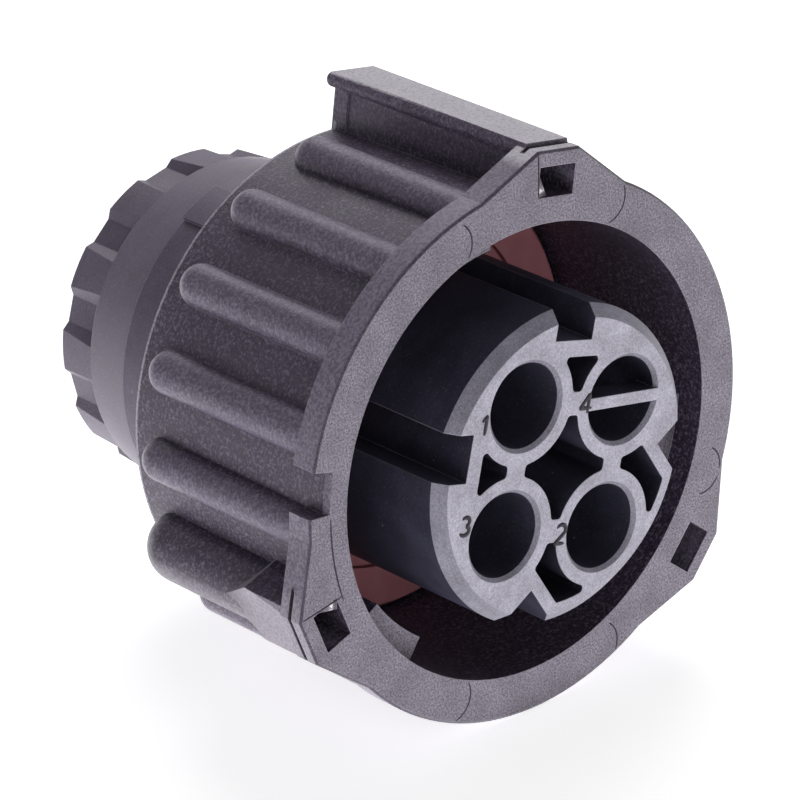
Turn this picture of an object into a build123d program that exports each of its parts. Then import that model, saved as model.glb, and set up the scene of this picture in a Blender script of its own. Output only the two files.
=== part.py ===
from build123d import *
import math
import os

# A four way circular socket housing with a bayonet coupling ring, lying on its side.
# The axis runs along Y and the mating face looks to -Y. The origin is on the axis, in the
# front plane of the coupling ring. Depths are measured from that plane towards the cable.
# Angles are seen from the front: 0 is +X, 90 is up.

# Coupling ring
ring_length = 17.2
ring_bore_radius = 13.5
ring_lip_thickness = 2.05
ring_wall = 1.5
ring_taper = 0.25
rear_edge_chamfer = 0.3
flange_rise = 1.15
flange_thickness = 1.75
flange_edge_chamfer = 0.15

# Grip ribs, on a 20 degree pitch with a lobe at every sixth place
rib_places = 18
lobe_count = 3
first_lobe_angle = 80.0
rib_radius = 1.3
rib_sink = 0.15
rib_setback = 3.0

# Lobes of the front flange
lobe_rise = 1.55
lobe_half_width = 1.55
lobe_foot_angle = 19.8
lobe_groove_start = 0.8
lobe_groove_width = 0.3
lobe_groove_depth = 0.28
lobe_groove_reach = 1.05

# Notch in the flange between the second and third rib before the second lobe
flange_notch_angle = 165.6
flange_notch_span = 9.6
front_edge_chamfer = 0.3

# Small windows in the lobes, two of them with a ramp at one inner corner
window_width = 2.65
window_height = 1.78
window_inner_wall = 1.5
window_side_wall = 0.175
window_depth = 4.6
window_ramp_width = 1.0
window_ramp_depth = 0.38

# Rail behind the top lobe
rail_rise = 0.2
rail_plate_thickness = 0.9
rail_overhang = 0.35
rail_front_overhang = 0.08
rail_rear_overhang = 0.6
rail_rear_round = 0.36
rail_web_setback = 0.1
rail_end_block_length = 1.15
rail_end_block_proud = 0.12

# Bump behind each of the other two lobes, turned a little past the lobe, and its raised flat
bump_radius = 2.15
bump_rise = 0.1
bump_turn = 2.0
bump_setback = 3.2
plateau_drop = 0.05
plateau_half_width = 1.95
plateau_length = 5.0
plateau_point_length = 3.0
plateau_end_sink = 0.15

# Bayonet lugs inside the ring
lug_height = 1.5
lug_start_angle = 93.0
lug_span = 21.0
lug_front_depth = 1.9
lug_length = 2.8

# Contact housing
nose_radius = 9.42
nose_length = 2.915
nose_chamfer = 0.68
housing_flange_thickness = 2.2
neck_radius = 11.0
neck_length = 12.7
neck_step = 0.15
neck_step_setback = 5.6
neck_taper = 0.95
collar_length = 2.9
collar_taper = 0.2
plug_turn = -15.15

# Contact cavities. Their radius and pitch follow from the room inside the rear collar.
cavity_web = 2.52
cavity_edge_chamfer = 0.22
cavity_seal_wall = 0.3
cavity_seal_length = 5.0
bar_width = 0.72
bar_thickness = 1.6
bar_tilt = 4.0

# Keyways and notches of the nose, moved sideways from its centre lines
key_shift = 0.95
keyway_width = 2.8
keyway_depth = 1.98
notch_depth = 2.27
notch_half_angle = 45.0
notch_length = 6.0

# Coring pockets of the nose
pocket_hole_wall = 0.98
pocket_floor_wall = 0.96
pocket_neck_gap = 0.66
pocket_rim_wall = 0.58
pocket_notch_wall = 0.85
pocket_corner_radius = 0.25
pocket_depth = 9.0
star_tip_gap = 0.71

# Retention pads on the neck behind the ring
pad_count = 3
pad_angle = 113.9
pad_span = 14.6
pad_height = 0.3

# Toothed rear collar
tooth_count = 12
tooth_share = 0.5
tooth_offset = 13.0
tooth_depth = 0.4
tooth_flank = 2.6
collar_wall = 1.3
recess_depth = 7.9

# Interface seal
seal_thickness = 1.2
seal_seat_depth = 0.3
seal_step_width = 1.18
seal_step_depth = 0.45
seal_face_round = 0.2

# Secondary lock, in the position it is delivered in
lock_thickness = 3.0
lock_travel = 1.8
lock_post_reach = 12.6
lock_post_width = 1.1
lock_rim_wall = 0.2326
lock_edge_chamfer = 0.4

# Clearances
ring_bore_clearance = 0.1
ring_end_clearance = 0.15
ring_side_clearance = 0.3
seal_side_clearance = 0.25
seal_bore_clearance = 0.04
lock_clearance = 0.1
lock_stop_gap = 0.2
joint_overlap = 0.4
cut_margin = 1.0

# Radii that follow from the sizes above
ring_body_front_radius = ring_bore_radius + ring_wall
ring_body_rear_radius = ring_body_front_radius - ring_taper
ring_lip_radius = neck_radius + ring_bore_clearance
flange_radius = ring_body_front_radius + flange_rise
rib_line_radius = ring_body_front_radius - rib_sink
lobe_flat_radius = flange_radius + lobe_rise
window_centre_radius = ring_bore_radius + window_inner_wall + window_height / 2
rail_web_width = window_width + 2 * window_side_wall
rail_top_radius = lobe_flat_radius + rail_rise
bump_line_radius = ring_body_front_radius + bump_rise
plateau_radius = lobe_flat_radius - plateau_drop
plateau_end_radius = bump_line_radius + bump_radius - plateau_end_sink
lug_inner_radius = ring_bore_radius - lug_height
housing_flange_radius = ring_bore_radius - ring_side_clearance
neck_rear_radius = neck_radius - neck_taper
rear_rim_radius = neck_rear_radius - collar_taper
recess_radius = rear_rim_radius - collar_wall
keyway_floor_radius = nose_radius - keyway_depth
notch_tip_radius = nose_radius - notch_depth
seal_radius = ring_bore_radius - seal_side_clearance
seal_seat_radius = nose_radius - seal_seat_depth
seal_step_radius = nose_radius + seal_step_width
lock_radius = recess_radius - lock_clearance
cavity_room = lock_radius - lock_rim_wall - lock_clearance - cavity_seal_wall
cavity_radius = (cavity_room - cavity_web / math.sqrt(2)) / (1 + math.sqrt(2))
cavity_seal_radius = cavity_radius + cavity_seal_wall
lock_hole_radius = cavity_seal_radius + lock_clearance

# Depths that follow from the sizes above
lip_front = ring_length - ring_lip_thickness
flange_rear = lip_front - ring_end_clearance
flange_front = flange_rear - housing_flange_thickness
seal_front = flange_front - seal_thickness
rib_line_end = ring_length - rib_setback
bump_line_end = ring_length - bump_setback
rail_start = lobe_groove_start + lobe_groove_width
rail_length = ring_length + rail_rear_overhang
rail_web_length = ring_length - rail_web_setback
nose_front = -nose_length
pad_front = ring_length + ring_end_clearance
housing_end = ring_length + neck_length
neck_step_depth = ring_length + neck_step_setback
collar_front = housing_end - collar_length
recess_floor = housing_end - recess_depth
lock_front = recess_floor + lock_travel + lock_stop_gap

# Places of the cavities, seen from the front
cavity_pitch = 2 * cavity_radius + cavity_web
cavity_reach = cavity_pitch / 2
pocket_neck_radius = cavity_reach + pocket_neck_gap
star_tip_radius = cavity_reach - star_tip_gap
cavity_centres = [
    (-cavity_reach, cavity_reach),
    (cavity_reach, -cavity_reach),
    (-cavity_reach, -cavity_reach),
    (cavity_reach, cavity_reach),
]
blanked_cavity = cavity_centres[3]
pocket_wall_radius = cavity_radius + pocket_hole_wall

# Angles of the lobes and ribs
lobe_angles = [first_lobe_angle + 360 / lobe_count * i for i in range(lobe_count)]
rib_pitch = 360 / rib_places

# The front plane: X to the right, Z up, depth going away from the viewer
front = Plane(origin=(0, 0, 0), x_dir=(1, 0, 0), z_dir=(0, -1, 0))


def slab(sketch, start, end):
    """A flat outline extruded between two depths."""
    return Pos(0, 0, -end) * extrude(sketch, amount=end - start)


def turned(profile):
    """A turned solid from a closed outline of (radius, depth) points."""
    outline = Polyline(*[(radius, 0, -depth) for radius, depth in profile], close=True)
    return revolve(make_face(outline), Axis.Z, 360)


def at_angle(shape, angle):
    """Turn a shape drawn along the first axis to its angle round the ring."""
    return Rot(0, 0, angle) * shape


def block(inner, outer, half_width, start, end):
    """A block along the ring, from one radius to another, drawn at angle 0."""
    outline = Pos((inner + outer) / 2, 0) * Rectangle(outer - inner, 2 * half_width)
    return slab(outline, start, end)


def sector(inner, outer, start_angle, span, start, end):
    """A piece of a ring between two angles and two depths."""
    reach = outer / math.cos(math.radians(span / 2)) + cut_margin
    corners = [(0, 0)]
    for angle in (start_angle, start_angle + span / 2, start_angle + span):
        direction = math.radians(angle)
        corners.append((reach * math.cos(direction), reach * math.sin(direction)))
    wedge = make_face(Polyline(*corners, close=True))
    return slab((Circle(outer) - Circle(inner)) & wedge, start, end)


def capsule(radius, line_radius, start, end):
    """A round bar along the ring with a domed rear end, drawn at angle 0."""
    bar = slab(Pos(line_radius, 0) * Circle(radius), start, end)
    return bar + Pos(line_radius, 0, -end) * Sphere(radius)


def lobe_outline():
    """The lobe's flat and its two straight flanks, drawn at angle 0."""
    foot_x = flange_radius * math.cos(math.radians(lobe_foot_angle))
    foot_y = flange_radius * math.sin(math.radians(lobe_foot_angle))
    corners = [
        (0, 0),
        (foot_x, -foot_y),
        (lobe_flat_radius, -lobe_half_width),
        (lobe_flat_radius, lobe_half_width),
        (foot_x, foot_y),
    ]
    return make_face(Polyline(*corners, close=True))


def flange_outline():
    outline = Circle(flange_radius)
    for angle in lobe_angles:
        outline = outline + at_angle(lobe_outline(), angle)
    return outline


def lobe_groove(reach):
    """The thin groove over a lobe, down to a given depth below its flat, drawn at angle 0."""
    floor = offset(lobe_outline(), -lobe_groove_depth, kind=Kind.INTERSECTION)
    area = Pos(lobe_flat_radius, 0) * Rectangle(2 * reach, 2 * flange_radius)
    band = (offset(lobe_outline(), cut_margin, kind=Kind.INTERSECTION) - floor) & area
    return slab(band, lobe_groove_start, rail_start)


def rail_plate_outline(overhang):
    """The top plate of the rail in cross section, with rounded edges, drawn at angle 0."""
    plate_bottom = rail_top_radius - rail_plate_thickness
    middle = rail_top_radius - rail_plate_thickness / 2
    flat_half = lobe_half_width
    full_half = flat_half + overhang
    side = ThreePointArc((rail_top_radius, flat_half), (middle, full_half), (plate_bottom, flat_half))
    bottom = Line((plate_bottom, flat_half), (plate_bottom, -flat_half))
    other_side = ThreePointArc(
        (plate_bottom, -flat_half),
        (middle, -full_half),
        (rail_top_radius, -flat_half),
    )
    top = Line((rail_top_radius, -flat_half), (rail_top_radius, flat_half))
    return make_face([side, bottom, other_side, top])


def rail():
    """The T shaped rail: a web under a top plate whose overhang grows towards the rear."""
    inner = ring_body_rear_radius - joint_overlap
    plate_bottom = rail_top_radius - rail_plate_thickness
    web = block(inner, plate_bottom + joint_overlap, rail_web_width / 2, rail_start, rail_web_length)
    end_block = block(
        inner,
        plate_bottom + joint_overlap,
        rail_web_width / 2 + rail_end_block_proud,
        rail_web_length - rail_end_block_length,
        rail_web_length,
    )
    plate = loft([
        Pos(0, 0, -rail_start) * rail_plate_outline(rail_front_overhang),
        Pos(0, 0, -rail_length) * rail_plate_outline(rail_overhang),
    ])
    rear = plate.faces().sort_by(Axis.Z)[0]
    plate = fillet(rear.edges(), rail_rear_round)
    return web + end_block + plate


def plateau():
    """The lobe's shape carried back, with a top that slopes down and a pointed rear end."""
    inner = ring_bore_radius
    end = plateau_length + plateau_point_length
    body = slab(offset(lobe_outline(), -plateau_drop, kind=Kind.INTERSECTION), rail_start, end)
    side = [
        (inner, 0, -rail_start),
        (plateau_radius, 0, -rail_start),
        (plateau_end_radius, 0, -end),
        (inner, 0, -end),
    ]
    slope = extrude(make_face(Polyline(*side, close=True)), amount=plateau_half_width, both=True)
    corners = [
        (inner, -plateau_half_width, -rail_start),
        (inner, -plateau_half_width, -plateau_length),
        (inner, 0, -end),
        (inner, plateau_half_width, -plateau_length),
        (inner, plateau_half_width, -rail_start),
    ]
    plan = make_face(Polyline(*corners, close=True))
    return body & slope & extrude(plan, amount=plateau_radius - inner, dir=(1, 0, 0))


def bump():
    """The large rib behind a lobe, with its raised flat."""
    bar = capsule(bump_radius, bump_line_radius, flange_thickness - joint_overlap, bump_line_end)
    return at_angle(bar, bump_turn) + plateau()


def window_outline(ramp_side, ramp_width):
    """The window's outline, drawn in at its inner corner on the ramp's side."""
    half = window_width / 2
    corners = [
        (-window_height / 2, -half),
        (window_height / 2, -half),
        (window_height / 2, half),
        (-window_height / 2, half - ramp_width),
    ]
    outline = make_face(Polyline(*corners, close=True))
    if ramp_side < 0:
        outline = mirror(outline, Plane.XZ)
    return outline


def window(ramp_side):
    """A window in a lobe, with a ramp on the side that is given as -1, 0 or 1."""
    mouth = window_outline(ramp_side, 0)
    throat = window_outline(ramp_side, window_ramp_width * abs(ramp_side))
    cut = slab(mouth, -cut_margin, 0) + slab(throat, window_ramp_depth, window_depth)
    cut = cut + loft([mouth, Pos(0, 0, -window_ramp_depth) * throat])
    return Pos(window_centre_radius, 0) * cut


def ring_body():
    """The turned body of the ring, with its bore and the lip at the rear."""
    return turned([
        (ring_bore_radius, 0),
        (ring_body_front_radius - front_edge_chamfer, 0),
        (ring_body_front_radius, front_edge_chamfer),
        (ring_body_front_radius, flange_thickness),
        (ring_body_rear_radius, ring_length - rear_edge_chamfer),
        (ring_body_rear_radius - rear_edge_chamfer, ring_length),
        (ring_lip_radius, ring_length),
        (ring_lip_radius, lip_front),
        (ring_bore_radius, lip_front),
    ])


def front_flange():
    """The front flange with its lobes, its edge chamfer, the lobe grooves and the notch."""
    plate = slab(flange_outline() - Circle(ring_bore_radius), 0, flange_thickness)
    face = plate.faces().sort_by(Axis.Z)[-1]
    plate = chamfer(face.outer_wire().edges(), flange_edge_chamfer)
    for angle, reach in zip(lobe_angles, (lobe_groove_depth, lobe_groove_reach, lobe_groove_reach)):
        plate = plate - at_angle(lobe_groove(reach), angle)
    inner = ring_body_front_radius - front_edge_chamfer - joint_overlap
    outer = flange_radius + cut_margin
    start = -cut_margin
    end = flange_thickness + cut_margin
    return plate - sector(inner, outer, flange_notch_angle, flange_notch_span, start, end)


def coupling_ring():
    ring = ring_body() + front_flange()
    for place in range(rib_places):
        angle = first_lobe_angle + place * rib_pitch
        if place % (rib_places // lobe_count):
            rib = capsule(rib_radius, rib_line_radius, flange_thickness - joint_overlap, rib_line_end)
            ring = ring + at_angle(rib, angle)
    ring = ring + at_angle(rail(), lobe_angles[0])
    for angle in lobe_angles[1:]:
        ring = ring + at_angle(bump(), angle)
    # The bumps reach into the bore, so it is cleared again before the lugs are added.
    ring = ring - slab(Circle(ring_bore_radius), -cut_margin, lip_front)
    for place in range(lobe_count):
        start_angle = lug_start_angle + place * 360 / lobe_count
        outer = (ring_bore_radius + ring_body_rear_radius) / 2
        rear = lug_front_depth + lug_length
        ring = ring + sector(lug_inner_radius, outer, start_angle, lug_span, lug_front_depth, rear)
    for angle, ramp_side in zip(lobe_angles, (1, -1, 0)):
        ring = ring - at_angle(window(ramp_side), angle)
    return ring


def mirrored(sketch):
    """The same outline on the other side of the diagonal through cavities 1 and 2."""
    return mirror(sketch, Plane(origin=(0, 0, 0), z_dir=(1, 1, 0)))


def cavity_walls():
    """The round walls that the coring leaves about the four cavities."""
    walls = Circle(pocket_wall_radius)
    discs = [Pos(x, y) * walls for x, y in cavity_centres]
    return discs[0] + discs[1] + discs[2] + discs[3]


def rounded(sketch):
    """The outline with its corners rounded."""
    smaller = offset(sketch, -pocket_corner_radius)
    return offset(smaller, pocket_corner_radius)


def star_pocket():
    """The four pointed space between the cavities."""
    square = Rectangle(2 * star_tip_radius, 2 * star_tip_radius)
    return rounded(square - cavity_walls())


def key_pocket():
    """The three sided pocket under the top keyway."""
    top = keyway_floor_radius - pocket_floor_wall
    outline = Pos(0, (top + pocket_neck_radius) / 2) * Rectangle(cavity_pitch, top - pocket_neck_radius)
    return rounded(outline - cavity_walls())


def notch_pocket():
    """The five sided pocket beside the right notch."""
    tip_sum = notch_tip_radius + key_shift * math.tan(math.radians(notch_half_angle))
    wall_sum = tip_sum - pocket_notch_wall * math.sqrt(2)
    limit = Circle(nose_radius - nose_chamfer - pocket_rim_wall)
    corners = [
        (pocket_neck_radius, wall_sum - pocket_neck_radius),
        (wall_sum + cavity_pitch, -cavity_pitch),
        (pocket_neck_radius, -cavity_pitch),
    ]
    outline = make_face(Polyline(*corners, close=True)) & limit
    below = Pos(cavity_pitch, -cavity_pitch - cavity_reach) * Rectangle(2 * cavity_pitch, 2 * cavity_pitch)
    return rounded(outline - cavity_walls() - below)


def keyway():
    """The flat bottomed keyway at the top of the nose."""
    height = nose_radius + cut_margin - keyway_floor_radius
    return Pos(-key_shift, keyway_floor_radius + height / 2) * Rectangle(keyway_width, height)


def notch():
    """The V notch at the right of the nose."""
    depth = nose_radius + cut_margin - notch_tip_radius
    half = depth * math.tan(math.radians(notch_half_angle))
    outer = notch_tip_radius + depth
    corners = [(notch_tip_radius, key_shift), (outer, key_shift + half), (outer, key_shift - half)]
    return make_face(Polyline(*corners, close=True))


def housing_body():
    """The turned body of the housing, open at the rear."""
    return turned([
        (0, nose_front),
        (nose_radius - nose_chamfer, nose_front),
        (nose_radius, nose_front + nose_chamfer),
        (nose_radius, seal_front),
        (seal_seat_radius, seal_front),
        (seal_seat_radius, flange_front),
        (housing_flange_radius, flange_front),
        (housing_flange_radius, flange_rear),
        (neck_radius, flange_rear),
        (neck_radius, neck_step_depth),
        (neck_radius - neck_step, neck_step_depth),
        (neck_rear_radius, collar_front),
        (rear_rim_radius, housing_end),
        (recess_radius, housing_end),
        (recess_radius, recess_floor),
        (0, recess_floor),
    ])


def retention_pads():
    """Low pads on the neck that keep the ring from sliding off to the rear."""
    pads = []
    for place in range(pad_count):
        start_angle = pad_angle - pad_span / 2 + place * 360 / pad_count
        inner = neck_radius - joint_overlap
        outer = neck_radius + pad_height
        pads.append(sector(inner, outer, start_angle, pad_span, pad_front, neck_step_depth))
    return pads


def tooth_gap():
    """One trapezoid gap between two teeth of the rear collar, drawn at angle 0."""
    half_angle = 180 / tooth_count * (1 - tooth_share)
    floor_radius = rear_rim_radius - tooth_depth
    outer = neck_radius + cut_margin
    floor_half = floor_radius * math.tan(math.radians(half_angle - tooth_flank))
    rim_half = neck_rear_radius * math.tan(math.radians(half_angle + tooth_flank))
    corners = [
        (floor_radius, -floor_half),
        (floor_radius, floor_half),
        (neck_rear_radius, rim_half),
        (outer, rim_half),
        (outer, -rim_half),
        (neck_rear_radius, -rim_half),
    ]
    outline = make_face(Polyline(*corners, close=True))
    return slab(outline, collar_front, housing_end + cut_margin)


def cavities():
    """The four contact cavities, with a chamfer in front and a seal bore at the rear."""
    cuts = []
    for x, y in cavity_centres:
        hole = slab(Circle(cavity_radius), nose_front - cut_margin, recess_floor + cut_margin)
        mouth = Pos(0, 0, -nose_front - cavity_edge_chamfer) * Cone(
            cavity_radius,
            cavity_radius + 2 * cavity_edge_chamfer,
            2 * cavity_edge_chamfer,
            align=(Align.CENTER, Align.CENTER, Align.MIN),
        )
        seal_start = recess_floor - cavity_seal_length
        seal_bore = slab(Circle(cavity_seal_radius), seal_start, recess_floor + cut_margin)
        cuts.append(Pos(x, y) * (hole + mouth + seal_bore))
    return cuts


def blanking_bar():
    """The bar that is moulded across the front of the fourth cavity."""
    x, y = blanked_cavity
    outline = Rot(0, 0, bar_tilt) * Rectangle(2 * (cavity_radius + joint_overlap), bar_width)
    return Pos(x, y) * slab(outline, nose_front, nose_front + bar_thickness)


def contact_housing():
    housing = housing_body()
    for cut in cavities():
        housing = housing - cut
    housing = housing - slab(star_pocket(), nose_front - cut_margin, recess_floor + cut_margin)
    pocket_floor = nose_front + pocket_depth
    for outline in (key_pocket(), mirrored(key_pocket()), notch_pocket(), mirrored(notch_pocket())):
        housing = housing - slab(outline, nose_front - cut_margin, pocket_floor)
    for outline in (keyway(), mirrored(keyway())):
        housing = housing - slab(outline, nose_front - cut_margin, seal_front)
    for outline in (notch(), mirrored(notch())):
        housing = housing - slab(outline, nose_front - cut_margin, nose_front + notch_length)
    for place in range(tooth_count):
        angle = tooth_offset + (place + 0.5) * 360 / tooth_count
        housing = housing - at_angle(tooth_gap(), angle)
    housing = housing + blanking_bar()
    housing = at_angle(housing, plug_turn)
    for pad in retention_pads():
        housing = housing + pad
    return housing


def interface_seal():
    """The ring seal that lies against the housing flange, with a lower inner zone."""
    inner = seal_seat_radius + seal_bore_clearance
    return turned([
        (inner, seal_front + seal_step_depth),
        (seal_step_radius, seal_front + seal_step_depth),
        (seal_step_radius, seal_front),
        (seal_radius - seal_face_round, seal_front),
        (seal_radius, seal_front + seal_face_round),
        (seal_radius, flange_front),
        (inner, flange_front),
    ])


def secondary_lock():
    """The rear retainer: a disc with four wire holes and a cross shaped post."""
    lock_rear = lock_front + lock_thickness
    disc = turned([
        (0, lock_front),
        (lock_radius - lock_edge_chamfer, lock_front),
        (lock_radius, lock_front + lock_edge_chamfer),
        (lock_radius, lock_rear - lock_edge_chamfer),
        (lock_radius - lock_edge_chamfer, lock_rear),
        (0, lock_rear),
    ])
    hole = slab(Circle(lock_hole_radius), lock_front - cut_margin, lock_rear + cut_margin)
    for x, y in cavity_centres:
        disc = disc - Pos(x, y) * hole
    arm = 2 * (star_tip_radius - 2 * lock_clearance - pocket_corner_radius)
    arms = Rectangle(arm, lock_post_width) + Rectangle(lock_post_width, arm)
    arms = arms - offset(cavity_walls(), lock_clearance)
    post = slab(arms, lock_front - lock_post_reach, lock_front + joint_overlap)
    return at_angle(disc + post, plug_turn)


nodes = {
    "contact_housing": contact_housing,
    "coupling_ring": coupling_ring,
    "interface_seal": interface_seal,
    "secondary_lock": secondary_lock,
}

os.makedirs("parts", exist_ok=True)
for name, make_node in nodes.items():
    shape = front.location * make_node()
    export_step(shape, f"parts/{name}.step")
    print(name, round(shape.volume, 1), shape.is_valid, len(shape.solids()))
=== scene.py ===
# %% [markdown]
# # A four way circular connector housing
#
# The object is the socket half of a sealed round connector for vehicle wiring. A black coupling
# ring with grip ribs turns round a fixed housing with four contact cavities, and a red silicone
# seal lies at the bottom of the space between them. The shapes come ready made from the CAD
# model, in metres. This notebook gives them their moulded plastic, adds the small raised cavity
# numbers and the fine marks that the mould left, and sets up the camera and the soft light.

import math

import bpy
import numpy as np
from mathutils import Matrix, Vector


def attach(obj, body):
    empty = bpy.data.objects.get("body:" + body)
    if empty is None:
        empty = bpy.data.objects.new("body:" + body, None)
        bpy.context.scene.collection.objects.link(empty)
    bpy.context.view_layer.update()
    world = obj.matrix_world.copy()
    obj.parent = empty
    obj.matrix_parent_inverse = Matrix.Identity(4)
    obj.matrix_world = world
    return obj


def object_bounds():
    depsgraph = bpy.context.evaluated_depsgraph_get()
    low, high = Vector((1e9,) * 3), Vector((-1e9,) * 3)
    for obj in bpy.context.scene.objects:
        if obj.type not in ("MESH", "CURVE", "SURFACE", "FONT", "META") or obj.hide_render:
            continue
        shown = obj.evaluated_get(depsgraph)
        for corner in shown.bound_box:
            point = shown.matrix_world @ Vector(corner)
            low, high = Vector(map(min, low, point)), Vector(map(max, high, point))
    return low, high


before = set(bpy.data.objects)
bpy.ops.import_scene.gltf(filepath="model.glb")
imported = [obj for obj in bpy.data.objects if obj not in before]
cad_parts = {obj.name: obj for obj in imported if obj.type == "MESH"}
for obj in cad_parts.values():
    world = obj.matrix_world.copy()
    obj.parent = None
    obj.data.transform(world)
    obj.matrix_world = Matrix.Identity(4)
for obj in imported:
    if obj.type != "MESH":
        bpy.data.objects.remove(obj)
cad_box = [[float(value) for value in corner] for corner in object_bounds()]
MM = 0.001

# %% [markdown]
# ## Camera
#
# The photograph was taken from the front left and a little above, with a long lens. A camera is
# a place and three directions: right, up and back. The directions follow from the azimuth, the
# elevation and a small roll. The place is the viewing distance behind the origin, moved sideways
# until the object sits in the frame as it does in the picture. A plain matrix built from these
# needs no tracking constraint, and the lens needs no shift.

# %% Camera from angles and distance
AZIMUTH = math.radians(-40.14)
ELEVATION = math.radians(24.45)
ROLL = math.radians(-2.676)
DISTANCE = 307.65 * MM
AIM_RIGHT = -7.25 * MM
AIM_UP = 2.94 * MM
LENS = 246.46
SENSOR_WIDTH = 36.0
NEAREST_SEEN = 10 * MM

back = np.array([
    math.sin(AZIMUTH) * math.cos(ELEVATION),
    -math.cos(AZIMUTH) * math.cos(ELEVATION),
    math.sin(ELEVATION),
])
level = np.array([math.cos(AZIMUTH), math.sin(AZIMUTH), 0.0])
upward = np.cross(back, level)
right = math.cos(ROLL) * level + math.sin(ROLL) * upward
up = math.cos(ROLL) * upward - math.sin(ROLL) * level

camera_data = bpy.data.cameras.new("camera")
camera_data.lens = LENS
camera_data.sensor_width = SENSOR_WIDTH
camera_data.clip_start = NEAREST_SEEN
camera = bpy.data.objects.new("camera", camera_data)
bpy.context.collection.objects.link(camera)
place = np.eye(4)
place[:3, 0] = right
place[:3, 1] = up
place[:3, 2] = back
place[:3, 3] = DISTANCE * back + AIM_RIGHT * right + AIM_UP * up
camera.matrix_world = place.T.tolist()
bpy.context.scene.camera = camera
print("camera at", np.round(place[:3, 3], 4))

# %% [markdown]
# ## Helpers for materials
#
# Colours are written as the sRGB hex values a paint program shows, and shaders compute in linear
# light, so one function converts them. Materials are node trees. One small function adds a node:
# it sets the node's own properties, gives plain numbers to its inputs, and links an input where
# it is handed another node's output.

# %% Colour and node helpers
def linear(hex_colour):
    """Each channel c becomes ((c + 0.055) / 1.055) to the power 2.4, or c / 12.92 when dark."""
    channels = np.array([int(hex_colour[i:i + 2], 16) for i in (1, 3, 5)]) / 255
    curve = np.where(channels <= 0.04045, channels / 12.92, ((channels + 0.055) / 1.055) ** 2.4)
    return (*curve.tolist(), 1.0)


def add(tree, kind, inputs=None, **settings):
    """Adds a node, sets its properties, and fills its inputs with values or with links."""
    made = tree.nodes.new("ShaderNode" + kind)
    for name, value in settings.items():
        setattr(made, name, value)
    for name, value in (inputs or {}).items():
        if isinstance(value, bpy.types.NodeSocket):
            tree.links.new(value, made.inputs[name])
        else:
            made.inputs[name].default_value = value
    return made


def new_material(name):
    """An empty node tree with its output, and the shader that feeds it."""
    material = bpy.data.materials.new(name)
    material.use_nodes = True
    tree = material.node_tree
    tree.nodes.clear()
    shader = add(tree, "BsdfPrincipled")
    add(tree, "OutputMaterial", {"Surface": shader.outputs["BSDF"]})
    return material, tree, shader


print("mid grey #808080 is", round(linear("#808080")[0], 3), "in linear light")

# %% [markdown]
# ## Moulded nylon
#
# The ring, the housing and the lock are injection moulded in black glass filled nylon. Faces that
# look along the axis were spark eroded in the mould, and they are painted paler than the walls
# along the draw of the mould: painted light on the faces and painted shade on the walls of one
# black nylon. Short glass fibres near the skin make pale flecks, and the flow of the melt makes a
# slow mottling. Every sharp edge has a small radius, which rounds its shading and is painted pale
# as a highlight with some wear. All of this is a function of the place on the part in millimetres,
# so it is drawn with noise on Object coordinates:
#
# - two tones, told apart by how far the normal turns from the axis: painted light and shade,
# - mottling a few millimetres wide, which makes both tones lighter and darker,
# - painted shade in inner corners, where less of the surround is open,
# - grain about 0.12 mm wide, drawn a little coarser than the real 0.05 mm so that it shows,
# - flecks and rare white dust specks, where a cell pattern comes close to its centres,
# - edges, found by comparing the true normal with the normal of a slightly rounded copy, and
#   painted pale as a highlight with some wear.

# %% Noise, grey and painted corner shade of the nylon
GRAIN_WIDTH = 0.12 * MM
MOTTLE_WIDTH = 2.4 * MM
MOTTLE_DARK, MOTTLE_PALE = 0.8, 1.22
CORNER_REACH = 1.8 * MM
CORNER_CLOSED, CORNER_OPEN = 0.35, 0.95
CORNER_PAINTED_SHADE = 0.35
NODE_SAMPLES = 6


def nylon_noise(tree):
    """The place on the part, the slow mottling there and the fine grain there."""
    where = add(tree, "TexCoord").outputs["Object"]
    mottle = add(tree, "TexNoise", {
        "Vector": where, "Scale": 1 / MOTTLE_WIDTH, "Detail": 4.0, "Roughness": 0.62})
    grain = add(tree, "TexNoise", {
        "Vector": where, "Scale": 1 / GRAIN_WIDTH, "Detail": 2.0, "Roughness": 0.6})
    return where, mottle.outputs["Fac"], grain.outputs["Fac"]


def nylon_grey_and_corner_shade(tree, mottle, grain, contrast):
    """Brightness = mottling * (1 plus or minus the contrast, by the grain) * painted corner shade.
    """
    cloud = add(tree, "MapRange", {
        "Value": mottle, "From Min": 0.32, "From Max": 0.68,
        "To Min": MOTTLE_DARK, "To Max": MOTTLE_PALE})
    speckle = add(tree, "MapRange", {
        "Value": grain, "From Min": 0.3, "From Max": 0.7,
        "To Min": 1 - contrast, "To Max": 1 + contrast})
    grey = add(tree, "Math", {
        0: cloud.outputs["Result"], 1: speckle.outputs["Result"]}, operation="MULTIPLY")
    # Painted shade: inner corners are darkened as far as the surround around them is closed.
    open_sky = add(tree, "AmbientOcclusion", {"Distance": CORNER_REACH}, samples=NODE_SAMPLES)
    corner_shade = add(tree, "MapRange", {
        "Value": open_sky.outputs["AO"], "From Min": CORNER_CLOSED, "From Max": CORNER_OPEN,
        "To Min": CORNER_PAINTED_SHADE, "To Max": 1.0})
    shade = add(tree, "Math", {
        0: grey.outputs["Value"], 1: corner_shade.outputs["Result"]}, operation="MULTIPLY")
    return shade.outputs["Value"]


print("grain", round(GRAIN_WIDTH / MM, 2), "mm, mottling", round(MOTTLE_WIDTH / MM, 1), "mm")

# %% Flecks and dust
FLECK_SPACING = 0.34 * MM
FLECK_SIZE = 0.2
FLECK_COLOUR = "#a39eaa"
DUST_SPACING = 1.7 * MM
DUST_SIZE = 0.026
DUST_AMOUNT = 0.85
DUST_COLOUR = "#dcd8e0"
DOT_CORE = 0.6


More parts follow.
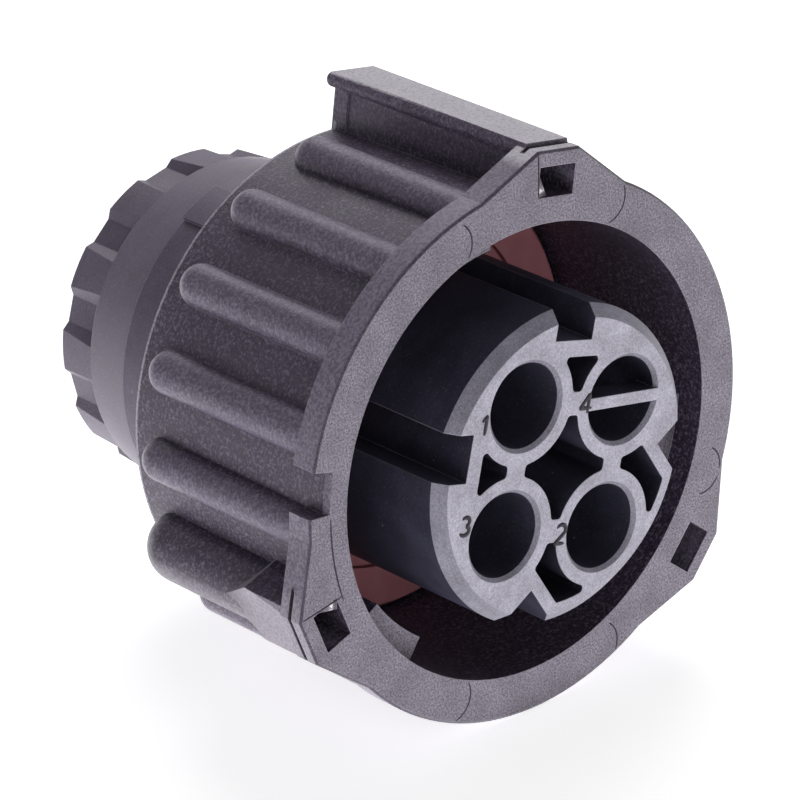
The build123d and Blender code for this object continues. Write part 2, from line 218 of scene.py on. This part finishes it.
def dotted(tree, where, below, spacing, size, amount, colour):
    """Dots on the centres of a cell pattern, as wide as size, which is a share of the spacing."""
    cells = add(tree, "TexVoronoi", {"Vector": where, "Scale": 1 / spacing, "Randomness": 1.0})
    dot = add(tree, "MapRange", {
        "Value": cells.outputs["Distance"],
        "From Min": size, "From Max": DOT_CORE * size, "To Max": amount})
    over = add(tree, "MixRGB", {
        "Fac": dot.outputs["Result"], "Color1": below, "Color2": linear(colour)})
    return over.outputs["Color"]


print("a fleck every", round(FLECK_SPACING / MM, 2), "mm, dust every", DUST_SPACING / MM, "mm")

# %% Moulded nylon as a function
WALL_TURN, FACE_TURN = 0.55, 0.85
EDGE_RADIUS = 0.1 * MM
EDGE_STARTS, EDGE_FULL = 0.985, 0.84
NYLON_IOR = 1.53
NYLON_GLOSS = 0.3
NYLON_TINT = "#dcd2e4"


def moulded_nylon(name, face, wall, edge, *, roughness, grain_height, edge_amount,
                  grain_contrast, flecks):
    """Colour = tone by direction, painted light and shade, * grey of the nylon, then flecks, dust
    and edges painted pale, as highlight with some wear, on top.
    """
    material, tree, shader = new_material(name)
    where, mottle, grain = nylon_noise(tree)
    true_normal = add(tree, "NewGeometry").outputs["True Normal"]

    normal = add(tree, "SeparateXYZ", {"Vector": true_normal})
    axial = add(tree, "Math", {0: normal.outputs["Y"]}, operation="ABSOLUTE")
    # Painted light and shade: faces that look along the axis take the pale face tone, walls the
    # dark wall tone.
    facing = add(tree, "MapRange", {
        "Value": axial.outputs["Value"], "From Min": WALL_TURN, "From Max": FACE_TURN})
    tone = add(tree, "MixRGB", {
        "Fac": facing.outputs["Result"], "Color1": linear(wall), "Color2": linear(face)},
        name="tone")
    shade = nylon_grey_and_corner_shade(tree, mottle, grain, grain_contrast)
    grained = add(tree, "VectorMath", {
        0: tone.outputs["Color"], "Scale": shade}, operation="SCALE").outputs["Vector"]
    flecked = dotted(tree, where, grained, FLECK_SPACING, FLECK_SIZE, flecks, FLECK_COLOUR)
    dusty = dotted(tree, where, flecked, DUST_SPACING, DUST_SIZE, DUST_AMOUNT, DUST_COLOUR)

    rounded = add(tree, "Bevel", {"Radius": EDGE_RADIUS}, samples=NODE_SAMPLES).outputs["Normal"]
    turn = add(tree, "VectorMath", {0: rounded, 1: true_normal}, operation="DOT_PRODUCT")
    # Painted highlight with some wear: sharp edges are mixed towards the pale edge colour.
    on_edge = add(tree, "MapRange", {
        "Value": turn.outputs["Value"],
        "From Min": EDGE_STARTS, "From Max": EDGE_FULL, "To Max": edge_amount})
    wear_and_glint = add(tree, "Math", {0: on_edge.outputs["Result"], 1: mottle}, operation="MULTIPLY")
    finished = add(tree, "MixRGB", {
        "Fac": wear_and_glint.outputs["Value"], "Color1": dusty, "Color2": linear(edge)})

    relief = add(tree, "Bump", {
        "Height": grain, "Normal": rounded, "Strength": 1.0, "Distance": grain_height})
    sheen = add(tree, "MapRange", {
        "Value": mottle, "From Min": 0.3, "From Max": 0.7,
        "To Min": roughness - 0.05, "To Max": roughness + 0.06})
    tree.links.new(finished.outputs["Color"], shader.inputs["Base Color"])
    tree.links.new(sheen.outputs["Result"], shader.inputs["Roughness"])
    tree.links.new(relief.outputs["Normal"], shader.inputs["Normal"])
    shader.inputs["IOR"].default_value = NYLON_IOR
    shader.inputs["Specular IOR Level"].default_value = NYLON_GLOSS
    shader.inputs["Specular Tint"].default_value = linear(NYLON_TINT)
    return material


# %% [markdown]
# The three mouldings differ in their tones and in how coarse their skin is. The ring's mould was
# eroded coarsely, for grip. The housing's faces are finer and are painted palest, as painted light,
# and the hidden lock is dark.

# %% Nylon of the ring, the housing and the lock
NECK_WALL = "#5b5364"

ring_nylon = moulded_nylon(
    "black_nylon_eroded", "#78737e", "#584f61", "#c4bfca", roughness=0.46,
    grain_height=0.022 * MM, edge_amount=0.95, grain_contrast=0.68, flecks=0.2)
housing_nylon = moulded_nylon(
    "black_nylon_housing", "#a5a2af", NECK_WALL, "#c0bbc6", roughness=0.46,
    grain_height=0.01 * MM, edge_amount=0.85, grain_contrast=0.26, flecks=0.12)
lock_nylon = moulded_nylon(
    "black_nylon_lock", "#4c4951", "#36333b", "#8a8690", roughness=0.46,
    grain_height=0.01 * MM, edge_amount=0.7, grain_contrast=0.4, flecks=0.08)
print("made:", ring_nylon.name, housing_nylon.name, lock_nylon.name)

# %% [markdown]
# The nose slides into the mating connector. Its sides and cavities lie in the shade of the ring,
# so their walls are painted darker than the neck behind the ring: painted shade. The tone of the
# walls therefore changes with the depth along the axis, between the seal and the rear of the ring.

# %% Painted shade on the nose walls
NOSE_SHADE_ENDS = 12.0 * MM
NECK_STARTS = 14.5 * MM
NOSE_SHADE_TONE = "#3b3a49"

housing_tree = housing_nylon.node_tree
where = add(housing_tree, "TexCoord").outputs["Object"]
behind = add(housing_tree, "MapRange", {
    "Value": add(housing_tree, "SeparateXYZ", {"Vector": where}).outputs["Y"],
    "From Min": NOSE_SHADE_ENDS, "From Max": NECK_STARTS})
# Painted shade: walls in front of this depth take the dark nose tone.
walls = add(housing_tree, "MixRGB", {
    "Fac": behind.outputs["Result"], "Color1": linear(NOSE_SHADE_TONE), "Color2": linear(NECK_WALL)})
housing_tree.links.new(walls.outputs["Color"], housing_tree.nodes["tone"].inputs["Color1"])
print("walls are dark up to", round(NOSE_SHADE_ENDS / MM, 1), "mm behind the front plane")

# %% [markdown]
# ## Painted light, shade and traces on the ring
#
# The ring gets painted light and shade, and some rubbing. The valleys between the ribs and the
# flanks of the two bumps are painted dark as shade. The rib crests, the rim of the flange and the
# rounded rear ends of the ribs are painted lighter as highlights. The rail, the lobes and the flats
# behind them are painted palest, a painted highlight with some rubbing, strongest on the upper
# ones. The narrow chamfer round the front face is painted as a thin dark outline of shade, the
# rear edge as a fine pale highlight line, and the ramps in the windows as bright highlights. Each
# mark is a band of the distance from the axis, of the depth along it or of the normal, laid over
# the nylon. The normal is first turned into the ring's own frame, so that the marks turn with the
# ring.

# %% Where a point of the ring lies
ring_tree = ring_nylon.node_tree
where = add(ring_tree, "TexCoord").outputs["Object"]
from_origin = add(ring_tree, "SeparateXYZ", {"Vector": where}).outputs
world_normal = add(ring_tree, "NewGeometry").outputs["True Normal"]
ring_normal = add(
    ring_tree, "VectorTransform", {"Vector": world_normal},
    vector_type="NORMAL", convert_from="WORLD", convert_to="OBJECT").outputs["Vector"]
rearwards = add(ring_tree, "SeparateXYZ", {"Vector": ring_normal}).outputs["Y"]
axial = add(ring_tree, "Math", {0: rearwards}, operation="ABSOLUTE").outputs["Value"]
from_axis = add(ring_tree, "CombineXYZ", {
    "X": from_origin["X"], "Z": from_origin["Z"]}).outputs["Vector"]
radius = add(ring_tree, "VectorMath", {0: from_axis}, operation="LENGTH").outputs["Value"]
away = add(ring_tree, "VectorMath", {0: from_axis}, operation="NORMALIZE").outputs["Vector"]
outwards = add(
    ring_tree, "VectorMath", {0: away, 1: ring_normal}, operation="DOT_PRODUCT").outputs["Value"]
depth, height = from_origin["Y"], from_origin["Z"]
print("measured: radius, depth, height, and the normal's axial, rearward and outward parts")

# %% [markdown]
# A mask is 1 where a trace lies and 0 elsewhere. Most are bands, and a table names them: each
# row says which value it reads, how soft its ends are, and from where to where it goes. An end
# left out lies beyond every value on the ring. The lengths follow the ring's own sizes: its body
# is 15 mm in radius, the ribs reach just over 16 mm, the lobes and the rail nearly 18 mm, and
# the flange is 1.75 mm thick.

# %% Bands on the ring
LOWEST, HIGHEST = -1.0, 2.0
BUMP_ANGLES = (202, 322)
BUMP_HALF_ANGLE = 8.0


def band(value, soft, low=LOWEST, high=HIGHEST):
    """1 where the value lies between low and high, 0 outside, with ends as soft as given."""
    rise = add(ring_tree, "MapRange", {
        "Value": value, "From Min": low - soft, "From Max": low + soft})
    fall = add(ring_tree, "MapRange", {
        "Value": value, "From Min": high - soft, "From Max": high + soft,
        "To Min": 1.0, "To Max": 0.0})
    both = add(ring_tree, "Math", {
        0: rise.outputs["Result"], 1: fall.outputs["Result"]}, operation="MULTIPLY")
    return both.outputs["Value"]


masks = {
    "wall": band(axial, 0.05, high=0.5),
    "slant": band(axial, 0.05, 0.35, 0.85),
    "ramp_slope": band(axial, 0.01, 0.88, 0.97),
    "rounded_end": band(rearwards, 0.2, low=0.25),
    "turned_out": band(outwards, 0.08, low=0.8),
    "valley": band(radius, 0.35 * MM, high=15.3 * MM),
    "crest": band(radius, 0.1 * MM, 15.6 * MM, 16.35 * MM),
    "rib": band(radius, 0.1 * MM, 15.1 * MM, 17.4 * MM),
    "flange_rim": band(radius, 0.1 * MM, 15.9 * MM, 17.3 * MM),
    "bump_flank": band(radius, 0.1 * MM, 15.3 * MM, 17.4 * MM),
    "outermost": band(radius, 0.15 * MM, low=17.25 * MM),
    "outside_bore": band(radius, 0.05 * MM, low=15.3 * MM),
    "body": band(radius, 0.05 * MM, 14.6 * MM, 15.2 * MM),
    "front_chamfer": band(depth, 0.015 * MM, 0.02 * MM, 0.13 * MM),
    "window_ramp": band(depth, 0.01 * MM, 0.02 * MM, 0.45 * MM),
    "flange": band(depth, 0.02 * MM, 0.2 * MM, 1.78 * MM),
    "behind_flange": band(depth, 0.05 * MM, low=1.8 * MM),
    "rear_edge": band(depth, 0.03 * MM, 16.74 * MM, 17.0 * MM),
    "upper": band(height, 1 * MM, low=8 * MM),
}
for angle in BUMP_ANGLES:
    towards = (math.cos(math.radians(angle)), 0.0, math.sin(math.radians(angle)))
    near = add(ring_tree, "VectorMath", {0: away, 1: towards}, operation="DOT_PRODUCT")
    masks[f"bump_{angle}"] = band(
        near.outputs["Value"], 0.002, low=math.cos(math.radians(BUMP_HALF_ANGLE)))
print(len(masks), "bands")

# %% [markdown]
# The other masks come from patterns. The pale outer faces, painted highlight with some rubbing,
# are broken into patches a millimetre wide. The skin of the ring's walls shows fibres, pits and
# pale specks. They are drawn 0.2 to 0.3 mm wide, coarser than the real ones, so that they show.

# %% Patches, fibres, pits and specks
PATCH_WIDTH = 1.2 * MM
FIBRE_SPACING = 0.3 * MM
PIT_WIDTH = 0.2 * MM

patches = add(ring_tree, "TexNoise", {"Vector": where, "Scale": 1 / PATCH_WIDTH, "Detail": 6.0})
fibres = add(ring_tree, "TexVoronoi", {
    "Vector": where, "Scale": 1 / FIBRE_SPACING, "Randomness": 1.0})
pits = add(ring_tree, "TexNoise", {
    "Vector": where, "Scale": 1 / PIT_WIDTH, "Detail": 3.0, "Roughness": 0.6})
for name, value, nothing, full, least in (
        ("patchy", patches.outputs["Fac"], 0.3, 0.6, 0.72),
        ("fibre", fibres.outputs["Distance"], 0.3, 0.05, 0.0),
        ("pit", pits.outputs["Fac"], 0.54, 0.4, 0.0),
        ("speck", pits.outputs["Fac"], 0.52, 0.68, 0.0)):
    masks[name] = add(ring_tree, "MapRange", {
        "Value": value, "From Min": nothing, "From Max": full, "To Min": least,
    }).outputs["Result"]
masks["rubbed_and_lit"] = add(ring_tree, "Math", {
    0: masks["outermost"], 1: masks["turned_out"]}, operation="MULTIPLY").outputs["Value"]
print("fibres every", round(FIBRE_SPACING / MM, 1), "mm, pits", round(PIT_WIDTH / MM, 1), "mm wide")

# %% [markdown]
# Each row names the masks of one mark, how much of the colour below it covers, and its own
# colour. Most rows paint light and shade; the fibres, pits and specks are the skin's own. The rows
# lie over each other in this order. The rubbed faces are also glossier.

# %% Painted light, shade and traces laid over the nylon
MARKS_AND_PAINTED_LIGHT = (
    # painted shade in the valleys between the ribs
    (("wall", "valley"), 0.5, "#221a2b"),
    # painted highlight on the rib crests
    (("wall", "crest"), 0.4, "#7d7488"),
    # painted light on the rim of the flange
    (("wall", "flange", "flange_rim"), 0.4, "#958fa0"),
    # painted shade on the flanks of the two bumps
    (("wall", "behind_flange", "bump_flank", "bump_202"), 0.7, "#1d1824"),
    (("wall", "behind_flange", "bump_flank", "bump_322"), 0.7, "#1d1824"),
    # painted highlight on the rounded rear ends of the ribs
    (("rounded_end", "rib"), 0.5, "#a8a3ae"),
    # painted highlight with some rubbing on the outermost faces, palest on the upper ones
    (("rubbed_and_lit", "patchy"), 0.4, "#a09ca4"),
    (("rubbed_and_lit", "patchy", "upper"), 0.85, "#bfbcc4"),
    # painted shade: a thin dark outline on the chamfer round the front face
    (("front_chamfer", "slant", "outside_bore"), 0.6, "#1f1b23"),
    # painted highlight: a fine pale line on the rear edge
    (("rear_edge", "body"), 0.9, "#c4bfca"),
    (("fibre", "wall"), 0.34, "#aca6b4"),
    (("pit", "wall"), 0.5, "#2b2433"),
    (("speck", "wall"), 0.6, "#8f869a"),
    # painted highlight on the ramps in the windows
    (("ramp_slope", "window_ramp", "outside_bore"), 1.0, "#f4f2f7"),
)
RUBBED_GLOSS = 1.0

ring_shader = next(node for node in ring_tree.nodes if node.type == "BSDF_PRINCIPLED")
coloured = ring_shader.inputs["Base Color"].links[0].from_socket
for names, amount, colour in MARKS_AND_PAINTED_LIGHT:
    for name in names:
        amount = add(ring_tree, "Math", {
            0: masks[name], 1: amount}, operation="MULTIPLY").outputs["Value"]
    coloured = add(ring_tree, "MixRGB", {
        "Fac": amount, "Color1": coloured, "Color2": linear(colour)}).outputs["Color"]
ring_tree.links.new(coloured, ring_shader.inputs["Base Color"])
gloss = add(ring_tree, "MapRange", {
    "Value": masks["rubbed_and_lit"], "To Min": NYLON_GLOSS, "To Max": RUBBED_GLOSS})
ring_tree.links.new(gloss.outputs["Result"], ring_shader.inputs["Specular IOR Level"])
print(len(MARKS_AND_PAINTED_LIGHT), "traces on the ring")

# %% [markdown]
# ## Silicone
#
# The seal is red brown silicone rubber, moulded smooth and then dusted, so it is matt with a soft
# sheen. Silicone is slightly translucent: a little subsurface scattering keeps its shaded parts
# from going black.

# %% Silicone
DUSTING_WIDTH = 1.3 * MM
SKIN_HEIGHT = 0.02 * MM

seal_silicone, seal_tree, seal_shader = new_material("red_silicone")
where = add(seal_tree, "TexCoord").outputs["Object"]
dust = add(seal_tree, "TexNoise", {"Vector": where, "Scale": 1 / DUSTING_WIDTH, "Detail": 4.0})
tone = add(seal_tree, "MixRGB", {
    "Fac": dust.outputs["Fac"], "Color1": linear("#92575d"), "Color2": linear("#aa7077")})
skin = add(seal_tree, "Bump", {
    "Height": dust.outputs["Fac"], "Strength": 0.6, "Distance": SKIN_HEIGHT})
seal_tree.links.new(tone.outputs["Color"], seal_shader.inputs["Base Color"])
seal_tree.links.new(skin.outputs["Normal"], seal_shader.inputs["Normal"])
for name, value in {
        "Roughness": 0.55,
        "IOR": 1.41,
        "Subsurface Weight": 0.1,
        "Subsurface Radius": (0.6 * MM, 0.2 * MM, 0.15 * MM),
        "Subsurface Scale": 1.0}.items():
    seal_shader.inputs[name].default_value = value
print("made:", seal_silicone.name)

# %% [markdown]
# ## Dress the CAD nodes
#
# A CAD node keeps its shape. It gets its finish through the material slots that it already has.

# %% Finishes on the nodes
finishes = {
    "coupling_ring": ring_nylon,
    "contact_housing": housing_nylon,
    "interface_seal": seal_silicone,
    "secondary_lock": lock_nylon,
}
for name, material in finishes.items():
    for material_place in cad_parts[name].material_slots:
        material_place.material = material
    print(name, "wears", material.name)

# %% [markdown]
# ## Strokes on a surface
#
# Two things on the object are too fine for the CAD model: the number beside each cavity, and the
# witness lines that the mould's pins and inserts left on the ring. The mould maker cut both, so
# each is a thin raised stroke that follows the cutter's path. The stroke is an oval profile
# carried along that path: the point at (s, a) is the path's point s, plus sideways half the width
# times cos a, plus outwards the height times sin a. The lower half is sunk into the part. At both
# ends the profile shrinks to one point, which closes the skin.

# %% Stroke along a path
STROKE_SIDES = 8


def resampled(corners, steps):
    """Points at even distances along the straight runs between the corners."""
    corners = np.array(corners, float)
    lengths = np.r_[0, np.cumsum(np.linalg.norm(np.diff(corners, axis=0), axis=1))]
    at = np.linspace(0, lengths[-1], steps)
    return np.stack([np.interp(at, lengths, column) for column in corners.T], axis=1)


def stroke(path, outwards, width, height):
    """Point (s, a) = path s + side * width / 2 * cos a + outwards * height * sin a.

    Both are multiplied by the root of 1 - e to the power 6, where e runs from -1 to 1 between
    the ends, so that the profile is full along the path and thin at its ends.
    """
    along = np.gradient(path, axis=0)
    side = np.cross(along, outwards)
    side /= np.linalg.norm(side, axis=1)[:, None]
    angle = np.linspace(0, 2 * math.pi, STROKE_SIDES, endpoint=False)
    ends = np.linspace(-1, 1, len(path))[1:-1]
    thin = np.sqrt(1 - ends ** 6)[:, None, None]
    across = width / 2 * np.cos(angle)[None, :, None] * side[1:-1, None, :]
    out = height * np.sin(angle)[None, :, None] * outwards
    rings = path[1:-1, None, :] + thin * (across + out)
    return np.vstack([rings.reshape(-1, 3), path[:1], path[-1:]])


def stroke_faces(steps, first):
    """Quads between neighbouring rings, and a fan of triangles to the point at each end."""
    index = first + np.arange((steps - 2) * STROKE_SIDES).reshape(steps - 2, STROKE_SIDES)
    following = np.roll(index, -1, axis=1)
    quads = np.stack([index[:-1], index[1:], following[1:], following[:-1]], axis=-1)
    start = np.full(STROKE_SIDES, first + index.size)
    front_fan = np.stack([start, index[0], following[0]], axis=-1)
    back_fan = np.stack([start + 1, following[-1], index[-1]], axis=-1)
    return quads.reshape(-1, 4).tolist() + front_fan.tolist() + back_fan.tolist()


# %% [markdown]
# All strokes of one kind make one piece. They lie on faces that look to the front, so outwards is
# the same for each of them.

# %% A piece from many strokes
TO_FRONT = np.array([0.0, -1.0, 0.0])


def strokes_piece(name, paths, width, height, material, body):
    """One mesh from many strokes of one width and height, which rides on a body."""
    points, faces, count = [], [], 0
    for path in paths:
        made = stroke(path, TO_FRONT, width, height)
        points.append(made)
        faces += stroke_faces(len(path), count)
        count += len(made)
    mesh = bpy.data.meshes.new(name)
    mesh.from_pydata(np.vstack(points).tolist(), [], faces)
    mesh.materials.append(material)
    mesh.polygons.foreach_set("use_smooth", np.ones(len(mesh.polygons), bool))
    piece = bpy.data.objects.new(name, mesh)
    bpy.context.collection.objects.link(piece)
    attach(piece, body)
    print(name, "has", len(paths), "strokes and", count, "points")


def arc(cx, cy, rx, ry, start, end, steps=24):
    """Points of an ellipse: centre + (rx cos t, ry sin t), t in degrees from start to end."""
    t = np.radians(np.linspace(start, end, steps))
    return np.c_[cx + rx * np.cos(t), cy + ry * np.sin(t)]


# %% [markdown]
# ## Cavity numbers
#
# The numbers stand on the nose's front face and turn with it. A digit is a path drawn in a box one
# unit high, scaled to its real height and moved to its place beside the cavity. Centres and
# heights are in millimetres, measured on the upright nose before its small turn. The strokes are
# of the same nylon, drawn near black: its own black, darkened further as painted shade on their
# sides, so they read dark on the face, which is painted pale.

# %% Paths of the four numbers
NOSE_FACE = -2.915 * MM
PLUG_TURN = math.radians(-15.15)
NUMBER_WIDTH = 0.27 * MM
NUMBER_HEIGHT = 0.05 * MM
NUMBER_STEPS = 60


def on_nose_face(flat):
    """Turns a flat drawing with the nose, and stands it on the face that looks to -Y."""
    x = flat[:, 0] * math.cos(PLUG_TURN) - flat[:, 1] * math.sin(PLUG_TURN)
    z = flat[:, 0] * math.sin(PLUG_TURN) + flat[:, 1] * math.cos(PLUG_TURN)
    return np.c_[x, np.full(len(x), NOSE_FACE), z]


digits = {
    "1": ((-6.73, 2.80), 1.10, [(-0.22, 0.22), (0.08, 0.5), (0.08, -0.5)]),
    "2": ((0.60, -3.95), 1.12, [
        *arc(0, 0.21, 0.31, 0.29, 165, -38), (-0.32, -0.5), (0.36, -0.5)]),
    "3": ((-6.95, -2.95), 1.04, [
        *arc(-0.02, 0.25, 0.29, 0.25, 155, -75), *arc(-0.02, -0.24, 0.34, 0.27, 75, -155)]),
    "4": ((0.90, 3.65), 1.15, [(0.14, -0.5), (0.14, 0.5), (-0.38, -0.2), (0.4, -0.2)]),
}
number_paths = []
for centre, tall, outline in digits.values():
    flat = resampled(np.array(outline) * tall + np.array(centre), NUMBER_STEPS) * MM
    number_paths.append(on_nose_face(flat))

# Near black: the nylon's own black with painted shade on the sides of the strokes.
number_nylon = moulded_nylon(
    "black_nylon_numbers", "#17151b", "#131117", "#55525b", roughness=0.5,
    grain_height=0.004 * MM, edge_amount=0.2, grain_contrast=0.1, flecks=0.0)
strokes_piece("cavity_numbers", number_paths, NUMBER_WIDTH, NUMBER_HEIGHT,
              number_nylon, "housing")

# %% [markdown]
# ## Witness lines of the mould
#
# Round ejector pins pushed the ring out of its mould, and each left part of its rim on the front
# face. Small inserts formed the windows, and the joint of the mould's slides runs along the ring.
# These lines are a tenth of a millimetre wide and dark, because dirt and shade gather in them.
# Places are in millimetres on the front plane, angles are in degrees from the right, and a
# lobe's lines are measured along the lobe. Only the part of a rim that lies on the face is kept.

# %% Paths of the witness lines
FACE_INNER = 13.62
FACE_OUTER = 15.95
PIN_PLACES = ((-5.05, 13.95), (6.45, 13.4), (13.35, -5.7), (4.85, -14.0), (-6.52, -13.23))
PIN_RADIUS = 1.45
RIM_START, RIM_END, RIM_STEPS = 55, -100, 160
SHORTEST_RUN = 8
WINDOW_LINES = ((80, (17.6, 1.58), (15.04, 1.24)), (200, (17.5, -1.59), (14.63, -1.1)))
SLIDE_RADIUS = 14.65
SLIDE_START, SLIDE_END = 176, 197
LINE_WIDTH = 0.11 * MM
LINE_HEIGHT = 0.012 * MM
LINE_STEPS = 40


def on_ring_face(flat):
    """A drawing in millimetres, seen from the front, laid on the ring's front plane."""
    return np.c_[flat[:, 0], np.zeros(len(flat)), flat[:, 1]] * MM


def lobe_point(angle, radial, sideways):
    """A point given by its distance along the lobe's middle line and sideways from it."""
    turn = math.radians(angle)
    x = radial * math.cos(turn) - sideways * math.sin(turn)
    z = radial * math.sin(turn) + sideways * math.cos(turn)
    return x, z


face_paths = []
for centre in PIN_PLACES:
    rim = arc(*centre, PIN_RADIUS, PIN_RADIUS, RIM_START, RIM_END, RIM_STEPS)
    reach = np.hypot(rim[:, 0], rim[:, 1])
    inside = (reach > FACE_INNER) & (reach < FACE_OUTER)
    breaks = np.flatnonzero(np.diff(inside.astype(int))) + 1
    for run, kept in zip(np.split(rim, breaks), np.split(inside, breaks)):
        if kept[0] and len(run) > SHORTEST_RUN:
            face_paths.append(run)
for angle, outer, inner in WINDOW_LINES:
    face_paths.append([lobe_point(angle, *outer), lobe_point(angle, *inner)])
face_paths.append(arc(0, 0, SLIDE_RADIUS, SLIDE_RADIUS, SLIDE_START, SLIDE_END))
line_paths = [on_ring_face(resampled(flat, LINE_STEPS)) for flat in face_paths]

line_nylon = moulded_nylon(
    "black_nylon_witness_lines", "#2b2730", "#231f28", "#55525b", roughness=0.55,
    grain_height=0.004 * MM, edge_amount=0.2, grain_contrast=0.1, flecks=0.0)
strokes_piece("witness_lines", line_paths, LINE_WIDTH, LINE_HEIGHT,
              line_nylon, "ring")

# %% [markdown]
# ## Floor and light
#
# The object lies on white paper in a studio: soft light comes from the front and from above
# behind, and from the paper itself, which is lit like a light table. A bright surround shows in
# the plastic at grazing angles. The floor and the world are white where the camera looks at them
# and where the gloss of the plastic mirrors them, and much dimmer as a light, which keeps the
# shade between the ring and the nose.

# %% Floor
FLOOR_GAP = 0.02 * MM
FLOOR_REACH = 1.5
FLOOR_GLOW = 0.75


def any_ray(tree, *kinds):
    """1 where the ray is of one of these kinds, and 0 elsewhere."""
    ray = add(tree, "LightPath").outputs
    found = ray[kinds[0]]
    for kind in kinds[1:]:
        found = add(tree, "Math", {0: found, 1: ray[kind]}, operation="MAXIMUM").outputs["Value"]
    return found


floor_height = cad_box[0][2] - FLOOR_GAP
corners = [(x * FLOOR_REACH, y * FLOOR_REACH, floor_height)
           for x, y in ((-1, -1), (1, -1), (1, 1), (-1, 1))]
floor_mesh = bpy.data.meshes.new("floor")
floor_mesh.from_pydata(corners, [], [(0, 1, 2, 3)])
floor = bpy.data.objects.new("floor", floor_mesh)
bpy.context.collection.objects.link(floor)
floor_paper, floor_tree, floor_shader = new_material("white_paper")
floor_shader.inputs["Base Color"].default_value = linear("#f0f0f1")
floor_shader.inputs["Roughness"].default_value = 0.9
floor_shader.inputs["Emission Color"].default_value = (1.0, 1.0, 1.0, 1.0)
seen = any_ray(floor_tree, "Is Camera Ray", "Is Glossy Ray")
glow = add(floor_tree, "Math", {0: seen, 1: FLOOR_GLOW}, operation="MULTIPLY")
floor_tree.links.new(glow.outputs["Value"], floor_shader.inputs["Emission Strength"])
floor_mesh.materials.append(floor_paper)
print("floor at", round(floor_height / MM, 2), "mm")

# %% [markdown]
# An area lamp shines along its own -Z axis, so a lamp that faces the origin has its Z axis along
# the direction it stands in. The table below gives that direction and the lamp's watts. The light
# table is a lamp turned upside down just above the paper, and the camera doesn't see it.

# %% Lamps
LAMP_DISTANCE = 0.45
LAMP_SIZE = 0.3
LAMPS = {
    "front_light": ((-0.25, -0.95, 0.15), 0.66),
    "top_light": ((0.4, 0.5, 0.76), 1.15),
}
TABLE_SIZE = 0.5
TABLE_WATTS = 0.88
TABLE_LIFT = 0.05 * MM


def area_lamp(name, size, watts, turned):
    """A square lamp, with its place and its directions in one matrix."""
    data = bpy.data.lights.new(name, "AREA")
    data.shape = "SQUARE"
    data.size = size
    data.energy = watts
    lamp = bpy.data.objects.new(name, data)
    bpy.context.collection.objects.link(lamp)
    lamp.matrix_world = turned.T.tolist()
    return lamp


def facing_origin(direction, distance):
    """Z axis = direction, X axis = level and square to it, Y axis = Z cross X."""
    turned = np.eye(4)
    turned[:3, 2] = np.array(direction) / np.linalg.norm(direction)
    turned[:3, 0] = np.cross((0.0, 0.0, 1.0), turned[:3, 2])
    turned[:3, 0] /= np.linalg.norm(turned[:3, 0])
    turned[:3, 1] = np.cross(turned[:3, 2], turned[:3, 0])
    turned[:3, 3] = distance * turned[:3, 2]
    return turned


for name, (direction, watts) in LAMPS.items():
    area_lamp(name, LAMP_SIZE, watts, facing_origin(direction, LAMP_DISTANCE))
upside_down = np.diag([1.0, -1.0, -1.0, 1.0])
upside_down[2, 3] = floor_height + TABLE_LIFT
table_light = area_lamp("table_light", TABLE_SIZE, TABLE_WATTS, upside_down)
table_light.visible_camera = False

# %% [markdown]
# A world of strength 1 is white, so the background is white for the camera without more light on
# the object. The Standard view shows every colour as it is written.

# %% World
WORLD_LIGHT = 0.08

world = bpy.data.worlds.new("studio")
bpy.context.scene.world = world
world.use_nodes = True
world_tree = world.node_tree
world_tree.nodes.clear()
seen = any_ray(world_tree, "Is Camera Ray", "Is Glossy Ray", "Is Transmission Ray")
strength = add(world_tree, "MapRange", {"Value": seen, "To Min": WORLD_LIGHT, "To Max": 1.0})
surround = add(world_tree, "Background", {
    "Color": (1.0, 1.0, 1.0, 1.0), "Strength": strength.outputs["Result"]})
add(world_tree, "OutputWorld", {"Surface": surround.outputs["Background"]})
bpy.context.scene.view_settings.view_transform = "Standard"
print("the world lights with", WORLD_LIGHT, "and looks white")
